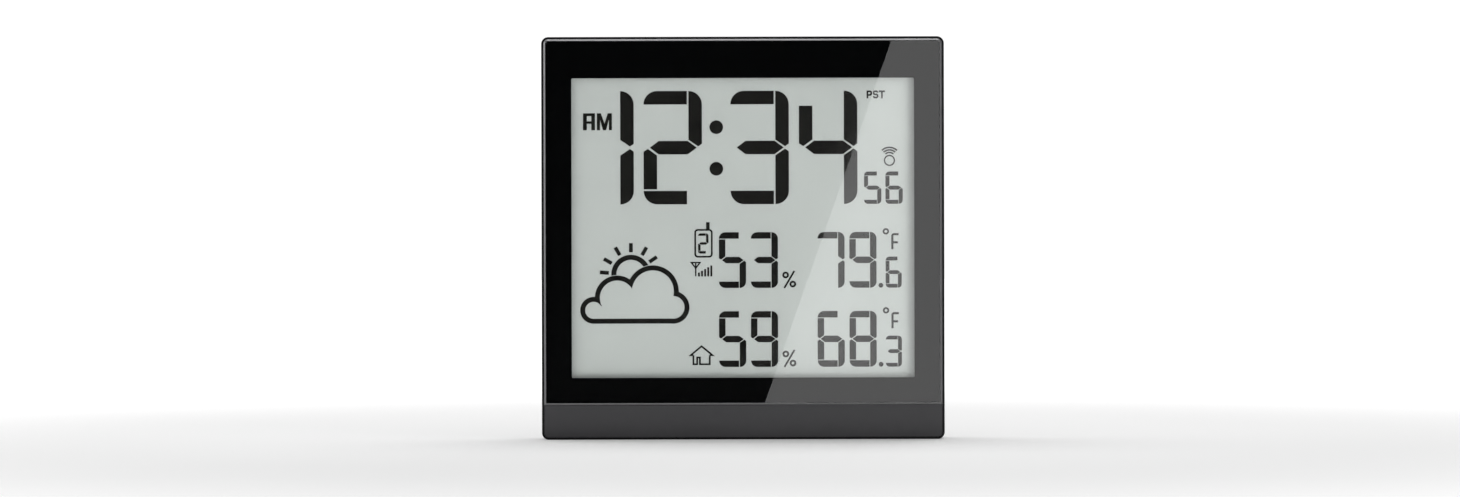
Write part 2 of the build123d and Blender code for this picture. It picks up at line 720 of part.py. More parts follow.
with BuildPart() as signal_leads:
    coil_low = ROD_Z - ROD_R - 1.2
    for lead_x in (ROD_X - 1.5, ROD_X + 1.5):
        wire(WIRE_R, 4, (lead_x, ROD_Y, coil_low), (lead_x, ROD_Y, 110), (lead_x, SOCKET_MID, 98),
             (lead_x, SOCKET_MID, 84 + SOCKET_TOP))
    for lead_x in (SOUNDER_X - 1.5, SOUNDER_X + 1.5):
        wire(WIRE_R, 2.5, (lead_x, PLATE_Y - 4.5, SOUNDER_Z - 4), (lead_x, SOCKET_MID, SOUNDER_Z - 4),
             (lead_x, SOCKET_MID, 66 + SOCKET_TOP))
    for lead_x in (SENSOR_X - 1.5, SENSOR_X + 1.5):
        wire(WIRE_R, 2.5, (lead_x, SENSOR_FRONT, SENSOR_Z + 4), (lead_x, SOCKET_MID, SENSOR_Z + 4),
             (lead_x, SOCKET_MID, 34 + SOCKET_TOP))
write(signal_leads, "signal_leads")

with BuildPart() as key_ribbon:
    with BuildSketch(Plane.YZ.offset(KEY_X - 3.5)):
        with BuildLine():
            FilletPolyline((SOCKET_MID, 36 + SOCKET_TOP), (SOCKET_MID, 55), (KEY_BOARD_Y, 55), radius=2.5)
        trace(line_width=0.5)
        # Square ends that meet the socket and the key board
        with Locations((KEY_BOARD_Y + 1, 55), (SOCKET_MID, 36 + SOCKET_TOP - 1)):
            Rectangle(2, 2, mode=Mode.SUBTRACT)
    extrude(amount=7)
write(key_ribbon, "key_ribbon")

# ---------------------------------------------------------------- battery contacts, cells, leads

# Each cell from the lowest up, with the side that its positive end is on
CELL_ENDS = [(BAY_MID_Z + CELL_PITCH * (n - 1), 1 if n % 2 == 0 else -1) for n in range(CELLS)]
PLATE_X = BAY_HALF - CONTACT_T
TAIL_END = BAY_HALF + 3.5

with BuildPart() as batteries:
    for cell_z, side in CELL_ENDS:
        nub = side * PLATE_X
        shoulder = nub - side * 1.2
        tail = nub - side * CELL_LONG
        bar(CELLS_Y, cell_z, sorted((shoulder, tail)), CELL_R)
        bar(CELLS_Y, cell_z, sorted((shoulder, nub)), 2.6)
    fillet(batteries.edges().filter_by(GeomType.CIRCLE).filter_by(lambda e: e.radius > 5), 0.5)
write(batteries, "batteries")

with BuildPart() as battery_plates:
    low_z, mid_z, high_z = [cell_z for cell_z, side in CELL_ENDS]
    for plate_x, plate_low, plate_high in ((-BAY_HALF, low_z - 6, low_z + 6),
                                           (PLATE_X, low_z - 6, mid_z + 6),
                                           (-BAY_HALF, mid_z - 6, high_z + 6),
                                           (PLATE_X, high_z - 6, high_z + 6)):
        block((plate_x, plate_x + CONTACT_T), (-1.5, 10.5), (plate_low, plate_high))
    # Tails that pass through the bay's side walls to the leads
    block((-TAIL_END, -BAY_HALF), (0, 1.5), (low_z - 1, low_z + 1))
    block((BAY_HALF, TAIL_END), (0, 1.5), (high_z - 1, high_z + 1))
write(battery_plates, "battery_plates")

with BuildPart() as battery_springs:
    for cell_z, side in CELL_ENDS:
        spring_gap = 2 * PLATE_X - CELL_LONG
        with BuildLine() as spring_line:
            Helix(pitch=(spring_gap - 0.8) / 3.5, height=spring_gap - 0.8, radius=3.4,
                  center=(-side * (PLATE_X - 0.4), CELLS_Y, cell_z), direction=(side, 0, 0))
        with BuildSketch(Plane(origin=spring_line.line @ 0, z_dir=spring_line.line % 0)):
            Circle(0.35)
        sweep(path=spring_line.line, is_frenet=True)
write(battery_springs, "battery_springs")

for lead_name, lead_side, lead_z, plug_x in (("battery_lead_black", -1, low_z, -9.5),
                                             ("battery_lead_red", 1, high_z, -6.5)):
    with BuildPart() as battery_lead:
        turn_x = lead_side * 39
        wire(LEAD_R, 3, (lead_side * TAIL_END, 0.75, lead_z), (turn_x, 0.75, lead_z),
             (turn_x, SOCKET_MID, 102), (plug_x, SOCKET_MID, 102),
             (plug_x, SOCKET_MID, 84 + SOCKET_TOP))
    write(battery_lead, lead_name)

# ---------------------------------------------------------------- rear cover

HOOD_DRAFT = (SHELL_HALF - PLATEAU_HALF) / (BACK - SPLIT)
INNER_HALF = SHELL_HALF - SHELL_INNER
INNER_DRAFT = HOOD_DRAFT * (PLATE_Y - SPLIT)
TONGUE_HALF = WIDTH / 2 - WALL - 0.1
SOUND_HOLES = [(SOUNDER_X, SOUNDER_Z)] + [
    (SOUNDER_X + 5 * math.cos(math.radians(60 * n)), SOUNDER_Z + 5 * math.sin(math.radians(60 * n)))
    for n in range(6)
]

with BuildPart() as rear_cover:
    with BuildSketch(layer(SPLIT)):
        window(SHELL_HALF, 0, SHELL_TOP, CORNER_R)
    with BuildSketch(layer(BACK)):
        window(PLATEAU_HALF, 0, PLATEAU_TOP, PLATEAU_R)
    loft(ruled=True)
    fillet(rear_cover.faces().sort_by(Axis.Y)[-1].edges(), 0.8)
    with BuildSketch(layer(SPLIT)):
        window(INNER_HALF, SHELL_INNER, SHELL_TOP - SHELL_INNER, 1.2)
    with BuildSketch(layer(PLATE_Y)):
        window(INNER_HALF - INNER_DRAFT, SHELL_INNER, SHELL_TOP - SHELL_INNER - INNER_DRAFT, 3)
    loft(ruled=True, mode=Mode.SUBTRACT)
    # Tongue that locates the cover inside the front frame
    ring_plate(SPLIT - TONGUE_DEEP, TONGUE_DEEP,
               (TONGUE_HALF, WALL + 0.1, HEIGHT - WALL - 0.1, 1.7),
               (TONGUE_HALF - TONGUE_T, WALL + 0.1 + TONGUE_T, HEIGHT - WALL - 0.1 - TONGUE_T, 0.7))
    # Screw wells
    for well_x, well_z in CASE_SCREWS:
        peg(well_x, well_z, (BOSS_END, PLATE_Y + 0.1), WELL_R + WELL_WALL)
    for well_x, well_z in CASE_SCREWS:
        peg(well_x, well_z, (WELL_FLOOR, BACK), WELL_R, Mode.SUBTRACT)
        peg(well_x, well_z, (BOSS_END, WELL_FLOOR), 1.7, Mode.SUBTRACT)
    # Stand recess, with holes in its cheeks for the pin
    plate(RECESS_FLOOR - 2, PLATE_Y + 0.1 - RECESS_FLOOR + 2,
          (RECESS_HALF + WALL, SHELL_INNER - 0.1, RECESS_TOP + WALL))
    plate(RECESS_FLOOR, BACK - RECESS_FLOOR, (RECESS_HALF, RECESS_LOW, RECESS_TOP), Mode.SUBTRACT)
    bar(STAND_PIVOT_Y, STAND_PIVOT_Z, (-RECESS_HALF - WALL, RECESS_HALF + WALL), PIN_R + 0.03,
        Mode.SUBTRACT)
    # Battery bay
    plate(BAY_FLOOR - BAY_WALL, DOOR_LEDGE - BAY_FLOOR + BAY_WALL,
          (BAY_HALF + BAY_WALL, BAY_LOW - BAY_WALL, BAY_TOP + BAY_WALL))
    plate(BAY_FLOOR, BACK - BAY_FLOOR, (BAY_HALF, BAY_LOW, BAY_TOP), Mode.SUBTRACT)
    plate(DOOR_LEDGE, BACK - DOOR_LEDGE, (DOOR_HALF + 0.3, DOOR_LOW - 0.3, DOOR_TOP + 0.3),
          Mode.SUBTRACT)
    for rib in range(CELLS - 1):
        rib_z = BAY_MID_Z + CELL_PITCH * (rib - 0.5)
        block((-20, 20), (BAY_FLOOR - 0.1, -0.4), (rib_z - 1.2, rib_z + 1.2))
    for tail_side, tail_z in ((-1, low_z), (1, high_z)):
        wall_x = sorted((tail_side * BAY_HALF, tail_side * (BAY_HALF + BAY_WALL)))
        block(wall_x, (-0.05, 1.55), (tail_z - 1.05, tail_z + 1.05), Mode.SUBTRACT)
    # Pockets for the door's two tabs, and a notch for a fingernail above the latch
    for tab_x in DOOR_TABS_X:
        block((tab_x - TAB_HALF - 0.4, tab_x + TAB_HALF + 0.4), (DOOR_FRONT - 1.2, TAB_BACK + 0.3),
              (DOOR_LOW - TAB_LONG - 0.5, DOOR_LOW + 1.3), Mode.SUBTRACT)
    with BuildSketch(layer(BACK - 1.2)):
        with Locations((0, DOOR_TOP + 0.3)):
            Circle(8)
        window(10, DOOR_LOW, DOOR_TOP, mode=Mode.SUBTRACT)
    extrude(amount=-1.2, mode=Mode.SUBTRACT)
    # Keyhole over a pocket for the wall screw's head
    plate(HEAD_POCKET_FLOOR - 1.5, PLATE_Y + 0.1 - HEAD_POCKET_FLOOR + 1.5,
          (8.5, KEYHOLE_Z - 8, SLOT_TOP + 5))
    plate(HEAD_POCKET_FLOOR, PLATE_Y - HEAD_POCKET_FLOOR, (7, KEYHOLE_Z - 6.5, SLOT_TOP + 3.5),
          Mode.SUBTRACT)
    with BuildSketch(layer(PLATE_Y)):
        with Locations((0, KEYHOLE_Z)):
            Circle(KEYHOLE_R)
        window(SLOT_W / 2, KEYHOLE_Z, SLOT_TOP - SLOT_W / 2)
        with Locations((0, SLOT_TOP - SLOT_W / 2)):
            Circle(SLOT_W / 2)
    extrude(amount=-WALL, mode=Mode.SUBTRACT)
    # Key panel with its holes, and posts for the key board
    panel_low = RESET_Z - 6
    panel_high = KEYS_Z[-1] + 7
    with BuildSketch(layer(PANEL_Y)):
        with Locations((KEY_X, (panel_low + panel_high) / 2)):
            RectangleRounded(16, panel_high - panel_low, 3)
    extrude(amount=PANEL_Y - BACK, mode=Mode.SUBTRACT)
    with BuildSketch(layer(PLATE_Y)):
        with Locations(*[(KEY_X, key_z) for key_z in KEYS_Z]):
            RectangleRounded(KEY_W + 2 * KEY_GAP, KEY_H + 2 * KEY_GAP, KEY_R + KEY_GAP)
        with Locations((KEY_X, RESET_Z)):
            Circle(RESET_R + KEY_GAP)
    extrude(amount=PLATE_Y - PANEL_Y, mode=Mode.SUBTRACT)
    for post_z in KEY_POSTS_Z:
        peg(KEY_X, post_z, (SWITCH_Y, PLATE_Y + 0.1), 2.4)
        peg(KEY_X, post_z, (SWITCH_Y, PLATE_Y - 1), 1.05, Mode.SUBTRACT)
    # Vents over the climate sensor with the pegs that carry its board, and sound holes
    with BuildSketch(layer(PLATE_Y)):
        with Locations((SENSOR_X, SENSOR_Z)):
            with GridLocations(1, VENT_PITCH, 1, VENTS):
                SlotOverall(16, 2)
        with Locations(*SOUND_HOLES):
            Circle(1.1)
    extrude(amount=-WALL, mode=Mode.SUBTRACT)
    for stake_x, stake_z in STAKES:
        peg(stake_x, stake_z, (SENSOR_BACK, PLATE_Y + 0.1), 1.8)
        peg(stake_x, stake_z, (SENSOR_FRONT - 0.5, SENSOR_BACK), 0.9)
write(rear_cover, "rear_cover")

# ---------------------------------------------------------------- battery door

with BuildPart() as battery_door:
    plate(DOOR_FRONT, DOOR_BACK - DOOR_FRONT, (DOOR_HALF, DOOR_LOW, DOOR_TOP, 1.5))
    fillet(battery_door.faces().sort_by(Axis.Y)[-1].edges(), 0.3)
    for tab_x in DOOR_TABS_X:
        block((tab_x - TAB_HALF, tab_x + TAB_HALF), (DOOR_FRONT, TAB_BACK),
              (DOOR_LOW - TAB_LONG, DOOR_LOW + 1))
    # Slits that free the latch tongue, and grip grooves across it
    for slit_x in (-9.5, 9.5):
        block((slit_x - 0.5, slit_x + 0.5), (DOOR_FRONT, DOOR_BACK), (DOOR_TOP - 13, DOOR_TOP),
              Mode.SUBTRACT)
    for groove in range(4):
        groove_z = DOOR_TOP - 9 + 2 * groove
        block((-7, 7), (DOOR_BACK - 0.4, DOOR_BACK), (groove_z - 0.4, groove_z + 0.4), Mode.SUBTRACT)
    # A sunk arrow points down the way that the latch is pressed
    with BuildSketch(layer(DOOR_BACK - 0.4)):
        Polygon((0, 136.5), (4.5, 141.5), (-4.5, 141.5), align=None)
    extrude(amount=-0.4, mode=Mode.SUBTRACT)
write(battery_door, "battery_door")

# ---------------------------------------------------------------- table stand and its pin

HEEL_LONG = 5.4
with BuildPart() as stand:
    with BuildSketch(Plane.YZ):
        with Locations(((STAND_FRONT + STAND_BACK) / 2, (STAND_LOW + STAND_PIVOT_Z) / 2)):
            Rectangle(STAND_BACK - STAND_FRONT, STAND_PIVOT_Z - STAND_LOW)
        with Locations((STAND_PIVOT_Y, STAND_PIVOT_Z)):
            Circle(STAND_BARREL_R)
        with Locations((STAND_PIVOT_Y + 0.5, STAND_PIVOT_Z + HEEL_LONG / 2)):
            Rectangle(2, HEEL_LONG)
    extrude(amount=STAND_HALF, both=True)
    fillet(stand.edges().filter_by(Axis.X).group_by(Axis.Z)[0], 1.2)
    # The plate is cored from the front side between ribs
    for column in (-1, 1):
        for row in range(4):
            core_z = STAND_LOW + 22 + 19 * row
            block((column * 15 - 12.5, column * 15 + 12.5), (STAND_FRONT, STAND_FRONT + 2.2),
                  (core_z - 8, core_z + 8), Mode.SUBTRACT)
    # Finger notch in the foot
    peg(0, STAND_LOW, (STAND_FRONT, STAND_BACK), 9, Mode.SUBTRACT)
    bar(STAND_PIVOT_Y, STAND_PIVOT_Z, (-STAND_HALF, STAND_HALF), PIN_R + 0.06, Mode.SUBTRACT)
write(stand, "stand")

with BuildPart() as stand_pin:
    bar(STAND_PIVOT_Y, STAND_PIVOT_Z, (-RECESS_HALF - WALL, RECESS_HALF + WALL), PIN_R)
write(stand_pin, "stand_pin")

# ---------------------------------------------------------------- key board, switches and keys

SWITCH_BORE = 1.8
PLUNGER_R = 1.7
PLUNGER_BACK = SWITCH_BACK + 1.0
FLANGE_BACK = PLATE_Y - 0.3
ALL_KEYS = dict(zip(["reset", *KEY_NAMES], [RESET_Z, *KEYS_Z]))

with BuildPart() as key_board:
    board_low = RESET_Z - 7
    board_high = KEYS_Z[-1] + 6
    block((KEY_X - 8, KEY_X + 8), (KEY_BOARD_Y, SWITCH_Y), (board_low, board_high))
    fillet(key_board.edges().filter_by(Axis.Y), 1)
    for post_z in KEY_POSTS_Z:
        peg(KEY_X, post_z, (KEY_BOARD_Y, SWITCH_Y), 1.2, Mode.SUBTRACT)
write(key_board, "key_board")

with BuildPart() as key_switches:
    for switch_z in ALL_KEYS.values():
        with Locations((KEY_X, (SWITCH_Y + SWITCH_BACK) / 2, switch_z)):
            Box(6, SWITCH_BACK - SWITCH_Y, 6)
        peg(KEY_X, switch_z, (SWITCH_BACK - 1.1, SWITCH_BACK), SWITCH_BORE, Mode.SUBTRACT)
write(key_switches, "key_switches")

for key_name, key_z in ALL_KEYS.items():
    with BuildPart() as plunger:
        peg(KEY_X, key_z, (SWITCH_BACK - 0.5, PLUNGER_BACK), PLUNGER_R)
    write(plunger, f"plunger_{key_name}")

    with BuildPart() as key:
        peg(KEY_X, key_z, (PLUNGER_BACK, PLUNGER_BACK + 1), 1.5)
        if key_name == "reset":
            peg(KEY_X, key_z, (PLUNGER_BACK + 1, FLANGE_BACK), 2.2)
            peg(KEY_X, key_z, (FLANGE_BACK, PANEL_Y - 0.4), RESET_R)
        else:
            with BuildSketch(layer(PLUNGER_BACK + 1)):
                with Locations((KEY_X, key_z)):
                    RectangleRounded(KEY_W + 2, KEY_H + 2, KEY_R)
            extrude(amount=PLUNGER_BACK + 1 - FLANGE_BACK)
            with BuildSketch(layer(FLANGE_BACK)):
                with Locations((KEY_X, key_z)):
                    RectangleRounded(KEY_W, KEY_H, KEY_R)
            extrude(amount=FLANGE_BACK - KEY_BACK)
            fillet(key.faces().sort_by(Axis.Y)[-1].edges(), 0.35)
        # The two adjusting keys carry a plus and a minus sign
        if key_name in ("plus", "minus"):
            block((KEY_X - 1.3, KEY_X + 1.3), (KEY_BACK - 0.25, KEY_BACK), (key_z - 0.25, key_z + 0.25),
                  Mode.SUBTRACT)
        if key_name == "plus":
            block((KEY_X - 0.25, KEY_X + 0.25), (KEY_BACK - 0.25, KEY_BACK), (key_z - 1.3, key_z + 1.3),
                  Mode.SUBTRACT)
    write(key, f"key_{key_name}")

# ---------------------------------------------------------------- screws

with BuildPart() as case_screws:
    for screw_x, screw_z in CASE_SCREWS:
        screw(screw_x, screw_z, WELL_FLOOR, 2.8, 1.8, 1.25, 10)
write(case_screws, "case_screws")

with BuildPart() as holder_screws:
    for screw_x, screw_z in HOLDER_SCREWS:
        seat = BOARD_BACK if screw_z < LCD_LOW else BOARD_Y
        screw(screw_x, screw_z, seat, 2.2, 1.3, 1.0, seat - GASKET_Y - 0.8)
write(holder_screws, "holder_screws")

with BuildPart() as key_board_screws:
    for screw_z in KEY_POSTS_Z:
        screw(KEY_X, screw_z, KEY_BOARD_Y, 2.2, 1.3, 1.0, 6, to_front=False)
write(key_board_screws, "key_board_screws")
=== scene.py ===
"""Looks of the home weather station: materials, studio and camera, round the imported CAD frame."""

import math

import bpy
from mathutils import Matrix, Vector


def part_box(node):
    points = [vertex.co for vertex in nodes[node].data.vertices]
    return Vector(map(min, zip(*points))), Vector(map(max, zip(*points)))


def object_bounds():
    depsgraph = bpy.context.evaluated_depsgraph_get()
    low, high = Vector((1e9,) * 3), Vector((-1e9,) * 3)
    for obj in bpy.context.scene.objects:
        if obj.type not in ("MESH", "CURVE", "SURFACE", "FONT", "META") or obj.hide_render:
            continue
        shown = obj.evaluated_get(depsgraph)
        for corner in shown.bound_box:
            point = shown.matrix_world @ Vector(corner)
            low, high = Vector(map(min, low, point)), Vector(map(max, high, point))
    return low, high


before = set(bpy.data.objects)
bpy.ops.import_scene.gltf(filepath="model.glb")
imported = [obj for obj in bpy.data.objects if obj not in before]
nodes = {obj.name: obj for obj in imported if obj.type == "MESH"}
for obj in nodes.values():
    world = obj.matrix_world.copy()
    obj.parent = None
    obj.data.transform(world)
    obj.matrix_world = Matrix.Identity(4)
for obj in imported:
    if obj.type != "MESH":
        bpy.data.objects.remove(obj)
cad_low, cad_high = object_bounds()

MM = 0.001
CENTRE = (cad_low + cad_high) / 2
FRONT_Y = cad_low.y
KEY_NAMES = ("reset", "set", "plus", "minus", "channel", "memory", "units", "signal")

# ---------------------------------------------------------------- camera

LENS = 100.0
SENSOR = 36.0
FIELD = 0.8332  # width of the view at the front of the case
AIM = Vector((-0.0074, 0.0, -0.0060))  # middle of the view from the middle of the object
ROLL = math.radians(-0.14)


def add_camera():
    """A long lens square to the display."""
    data = bpy.data.cameras.new("camera")
    data.lens = LENS
    data.sensor_width = SENSOR
    data.clip_end = 60
    camera = bpy.data.objects.new("camera", data)
    away = FIELD * LENS / SENSOR
    camera.location = (CENTRE.x + AIM.x, FRONT_Y - away, CENTRE.z + AIM.z)
    camera.rotation_euler = (math.pi / 2, -ROLL, 0)
    bpy.context.scene.collection.objects.link(camera)
    bpy.context.scene.camera = camera
    return camera, away


camera, CAMERA_AWAY = add_camera()

# ---------------------------------------------------------------- node helpers


class Finish:
    """A node material in the making. Lengths are millimetres, in the object's own space."""

    def __init__(self, name):
        self.material = bpy.data.materials.new(name)
        self.material.use_nodes = True
        self.tree = self.material.node_tree
        self.tree.nodes.clear()
        self.place = self.node("ShaderNodeTexCoord").outputs["Object"]

    def node(self, kind, **settings):
        """A new node with some of its settings."""
        made = self.tree.nodes.new(kind)
        for key, value in settings.items():
            setattr(made, key, value)
        return made

    def feed(self, made, name, value):
        """Sets an input, or links it where value is another node's output."""
        socket = made.inputs[name]
        if isinstance(value, bpy.types.NodeSocket):
            self.tree.links.new(value, socket)
        else:
            socket.default_value = value

    def noise(self, size, detail=2.0, rough=0.5, stretch=(1, 1, 1)):
        """Cloudy noise between 0 and 1 whose blobs are about size across."""
        made = self.node("ShaderNodeTexNoise")
        self.feed(made, "Vector", self.scaled(size, stretch))
        self.feed(made, "Scale", 1.0)
        self.feed(made, "Detail", detail)
        self.feed(made, "Roughness", rough)
        return made.outputs["Fac"]

    def cells(self, size):
        """Distance to the nearest of many scattered points, size apart."""
        made = self.node("ShaderNodeTexVoronoi", feature="F1")
        self.feed(made, "Vector", self.scaled(size))
        self.feed(made, "Scale", 1.0)
        return made.outputs["Distance"]

    def scaled(self, size, stretch=(1, 1, 1)):
        """The point's place, counted in steps of size times stretch."""
        made = self.node("ShaderNodeMapping")
        self.feed(made, "Vector", self.place)
        made.inputs["Scale"].default_value = [1 / (size * MM * s) for s in stretch]
        return made.outputs["Vector"]

    def axis(self, name):
        """One coordinate of the point, in metres."""
        made = self.node("ShaderNodeSeparateXYZ")
        self.feed(made, "Vector", self.place)
        return made.outputs[name]

    def spread(self, value, low, high, to_low=0.0, to_high=1.0, smooth=False):
        """Maps low..high onto to_low..to_high and clamps."""
        made = self.node("ShaderNodeMapRange")
        made.interpolation_type = "SMOOTHSTEP" if smooth else "LINEAR"
        for name, number in (("Value", value), ("From Min", low), ("From Max", high),
                             ("To Min", to_low), ("To Max", to_high)):
            self.feed(made, name, number)
        return made.outputs["Result"]

    def math(self, operation, first, second=0.0):
        """One step of arithmetic on numbers or other nodes' outputs."""
        made = self.node("ShaderNodeMath", operation=operation)
        self.feed_index(made, 0, first)
        self.feed_index(made, 1, second)
        return made.outputs[0]

    def feed_index(self, made, index, value):
        """The same as feed, for inputs that share a name."""
        if isinstance(value, bpy.types.NodeSocket):
            self.tree.links.new(value, made.inputs[index])
        else:
            made.inputs[index].default_value = value

    def blend(self, factor, first, second):
        """Mixes two colours."""
        made = self.node("ShaderNodeMix", data_type="RGBA")
        self.feed_index(made, 0, factor)
        self.feed_index(made, 6, first)
        self.feed_index(made, 7, second)
        return made.outputs[2]

    def bump(self, height, depth, strength=1.0, normal=None):
        """A normal that rises and falls by depth with height, over another normal if given."""
        made = self.node("ShaderNodeBump")
        self.feed(made, "Height", height)
        made.inputs["Distance"].default_value = depth * MM
        made.inputs["Strength"].default_value = strength
        if normal is not None:
            self.feed(made, "Normal", normal)
        return made.outputs["Normal"]

    def principled(self, **inputs):
        """The usual surface shader. Underscores in the names stand for spaces."""
        made = self.node("ShaderNodeBsdfPrincipled")
        for name, value in inputs.items():
            self.feed(made, name.replace("_", " "), value)
        return made.outputs["BSDF"]

    def close(self, shader):
        """Ends the material with its surface shader."""
        out = self.node("ShaderNodeOutputMaterial")
        self.tree.links.new(shader, out.inputs["Surface"])
        return self.material


def rgb(red, green, blue):
    """A colour from linear light values."""
    return (red, green, blue, 1.0)


def dress(material, *names):
    """Gives CAD nodes one material all over."""
    for name in names:
        slots = nodes[name].data.materials
        slots.clear()
        slots.append(material)


# ---------------------------------------------------------------- materials

# The clear window in the black print
WINDOW_HALF = 97.9 * MM
WINDOW_LOW = 35.2 * MM


def moulded(name, deep, pale, rough, grain=0.28, depth=0.012, shine=0.5):
    """Injection-moulded plastic with a fine spark-eroded grain."""
    f = Finish(name)
    cloud = 26.0
    speckle = f.cells(grain)
    drift = f.noise(cloud, detail=3)
    tone = f.math("MULTIPLY_ADD", speckle, 0.35)
    tone = f.math("ADD", tone, drift)
    tone = f.math("MULTIPLY", tone, 0.62)
    colour = f.blend(tone, deep, pale)
    gloss = f.spread(f.noise(cloud / 6, detail=4), 0.3, 0.7, rough - 0.04, rough + 0.05)
    grainy = f.bump(speckle, depth, 0.5)
    soft = f.bump(f.noise(grain * 5, detail=3), depth * 1.2, 0.35, grainy)
    return f.close(f.principled(Base_Color=colour, Roughness=gloss, Normal=soft,
                                Specular_IOR_Level=shine))


def satin_metal(name, deep, pale, rough, along=(1, 1, 1)):
    """Plated or drawn metal with fine lines and slight stains."""
    f = Finish(name)
    lines = f.noise(0.12, detail=2, stretch=along)
    stains = f.noise(3.0, detail=4)
    colour = f.blend(stains, deep, pale)
    gloss = f.spread(lines, 0.3, 0.7, rough - 0.06, rough + 0.08)
    return f.close(f.principled(Base_Color=colour, Metallic=1.0, Roughness=gloss,
                                Normal=f.bump(lines, 0.004, 0.4)))


def trim_finish():
    """Silver-painted bead, a little uneven in its sheen."""
    f = Finish("trim_silver")
    flakes = f.cells(0.09)
    drift = f.noise(14.0, detail=3)
    colour = f.blend(drift, rgb(0.36, 0.36, 0.37), rgb(0.5, 0.5, 0.51))
    gloss = f.spread(flakes, 0.0, 0.6, 0.28, 0.4)
    return f.close(f.principled(Base_Color=colour, Metallic=0.75, Roughness=gloss,
                                Normal=f.bump(flakes, 0.003, 0.35)))


def clear_layer(name, index, rough, smudge, tint=(1.0, 1.0, 1.0)):
    """A clear layer: mirror gloss from its front by angle, and the rest passes through."""
    f = Finish(name)
    marks = f.noise(38.0, detail=5, rough=0.62)
    gloss = f.node("ShaderNodeBsdfGlossy")
    f.feed(gloss, "Roughness", f.spread(marks, 0.45, 0.8, rough, rough + smudge))
    through = f.node("ShaderNodeBsdfTransparent")
    f.feed(through, "Color", f.blend(marks, rgb(*tint), rgb(*[c * 0.985 for c in tint])))
    angle = f.node("ShaderNodeFresnel")
    f.feed(angle, "IOR", index)
    sides = f.node("ShaderNodeNewGeometry")
    outer = f.math("SUBTRACT", 1.0, sides.outputs["Backfacing"])
    amount = f.math("MULTIPLY", angle.outputs[0], outer)
    mix = f.node("ShaderNodeMixShader")
    f.feed_index(mix, 0, amount)
    f.feed_index(mix, 1, through.outputs[0])
    f.feed_index(mix, 2, gloss.outputs[0])
    return f.close(mix.outputs[0])


def print_finish():
    """Black ink screened on the back of the lens, with faint mesh marks."""
    f = Finish("print_black")
    mesh = f.noise(0.5, detail=3)
    colour = f.blend(mesh, rgb(0.0004, 0.0007, 0.001), rgb(0.0012, 0.0016, 0.002))
    return f.close(f.principled(Base_Color=colour, Roughness=0.55, Specular_IOR_Level=0.1,
                                Normal=f.bump(mesh, 0.004, 0.3)))


def display_back():
    """The grey-green of the reflector, with painted shade darkening it along the window's right and
    lower edges.
    """
    f = Finish("display_grey_painted_shade")
    sparkle = f.noise(0.16, detail=2)
    wash = f.noise(70.0, detail=2)
    tone = f.math("MULTIPLY", f.math("ADD", sparkle, wash), 0.5)
    plain = f.blend(tone, rgb(0.74, 0.795, 0.76), rgb(0.80, 0.86, 0.82))
    # Painted shade: masks rise towards the window's right edge and its lower edge, in place of the
    # recess's shadow
    right = f.spread(f.axis("X"), WINDOW_HALF - 4.5 * MM, WINDOW_HALF + 0.5 * MM, smooth=True)
    painted_shade_below = f.spread(f.axis("Z"), WINDOW_LOW + 4.0 * MM, WINDOW_LOW - 0.8 * MM, smooth=True)
    shade = f.math("MAXIMUM", right, painted_shade_below)
    shade = f.math("MULTIPLY", shade, 0.3)
    # The painted shade mixes up to 30 % of a dark grey-green into the reflector's colour
    colour = f.blend(shade, plain, rgb(0.14, 0.15, 0.14))
    return f.close(f.principled(Base_Color=colour, Roughness=0.7, Specular_IOR_Level=0.2,
                                Normal=f.bump(sparkle, 0.004, 0.25)))


def segment_ink():
    """A darkened segment: near black, slightly warm, with a fine mottle."""
    f = Finish("segment_dark")
    mottle = f.noise(0.4, detail=3)
    colour = f.blend(mottle, rgb(0.0135, 0.0135, 0.0115), rgb(0.020, 0.020, 0.0175))
    return f.close(f.principled(Base_Color=colour, Roughness=0.6, Specular_IOR_Level=0.2))


def rubber(name, deep, pale, rough=0.75, grain=0.35):
    """Matt rubber, foam or sleeving with a fine pitted skin."""
    f = Finish(name)
    pits = f.noise(grain, detail=4)
    colour = f.blend(pits, deep, pale)
    return f.close(f.principled(Base_Color=colour, Roughness=rough, Specular_IOR_Level=0.3,
                                Normal=f.bump(pits, 0.02, 0.5)))


def striped_rubber():
    """Connector strip: thin dark layers between pale ones along its length."""
    f = Finish("zebra_stripes")
    wave = f.node("ShaderNodeTexWave", wave_type="BANDS", bands_direction="X")
    f.feed(wave, "Vector", f.scaled(0.35))
    f.feed(wave, "Scale", 1.0)
    colour = f.blend(wave.outputs["Fac"], rgb(0.03, 0.03, 0.03), rgb(0.32, 0.33, 0.34))
    return f.close(f.principled(Base_Color=colour, Roughness=0.6))


def circuit_board(name, resist, copper):
    """Solder resist over branching tracks, with bright pads scattered about."""
    f = Finish(name)
    bricks = f.node("ShaderNodeTexBrick")
    turned = f.node("ShaderNodeMapping")
    f.feed(turned, "Vector", f.scaled(5.0))
    turned.inputs["Rotation"].default_value = (math.pi / 2, 0, 0)
    f.feed(bricks, "Vector", turned.outputs["Vector"])
    f.feed(bricks, "Scale", 1.0)
    f.feed(bricks, "Mortar Size", 0.05)
    f.feed(bricks, "Color1", resist)
    f.feed(bricks, "Color2", rgb(*[c * 0.8 for c in resist[:3]]))
    f.feed(bricks, "Mortar", copper)
    pads = f.spread(f.cells(4.0), 0.14, 0.17, 1.0, 0.0)
    colour = f.blend(pads, bricks.outputs["Color"], rgb(0.55, 0.5, 0.38))
    relief = f.bump(bricks.outputs["Fac"], 0.03, 0.5)
    return f.close(f.principled(Base_Color=colour, Metallic=pads, Roughness=0.35, Normal=relief))


def epoxy():
    """Glossy black resin with slow ripples."""
    f = Finish("epoxy_black")
    ripple = f.noise(2.5, detail=2)
    colour = f.blend(ripple, rgb(0.004, 0.004, 0.004), rgb(0.012, 0.012, 0.012))
    return f.close(f.principled(Base_Color=colour, Roughness=0.18, Normal=f.bump(ripple, 0.1, 0.5)))


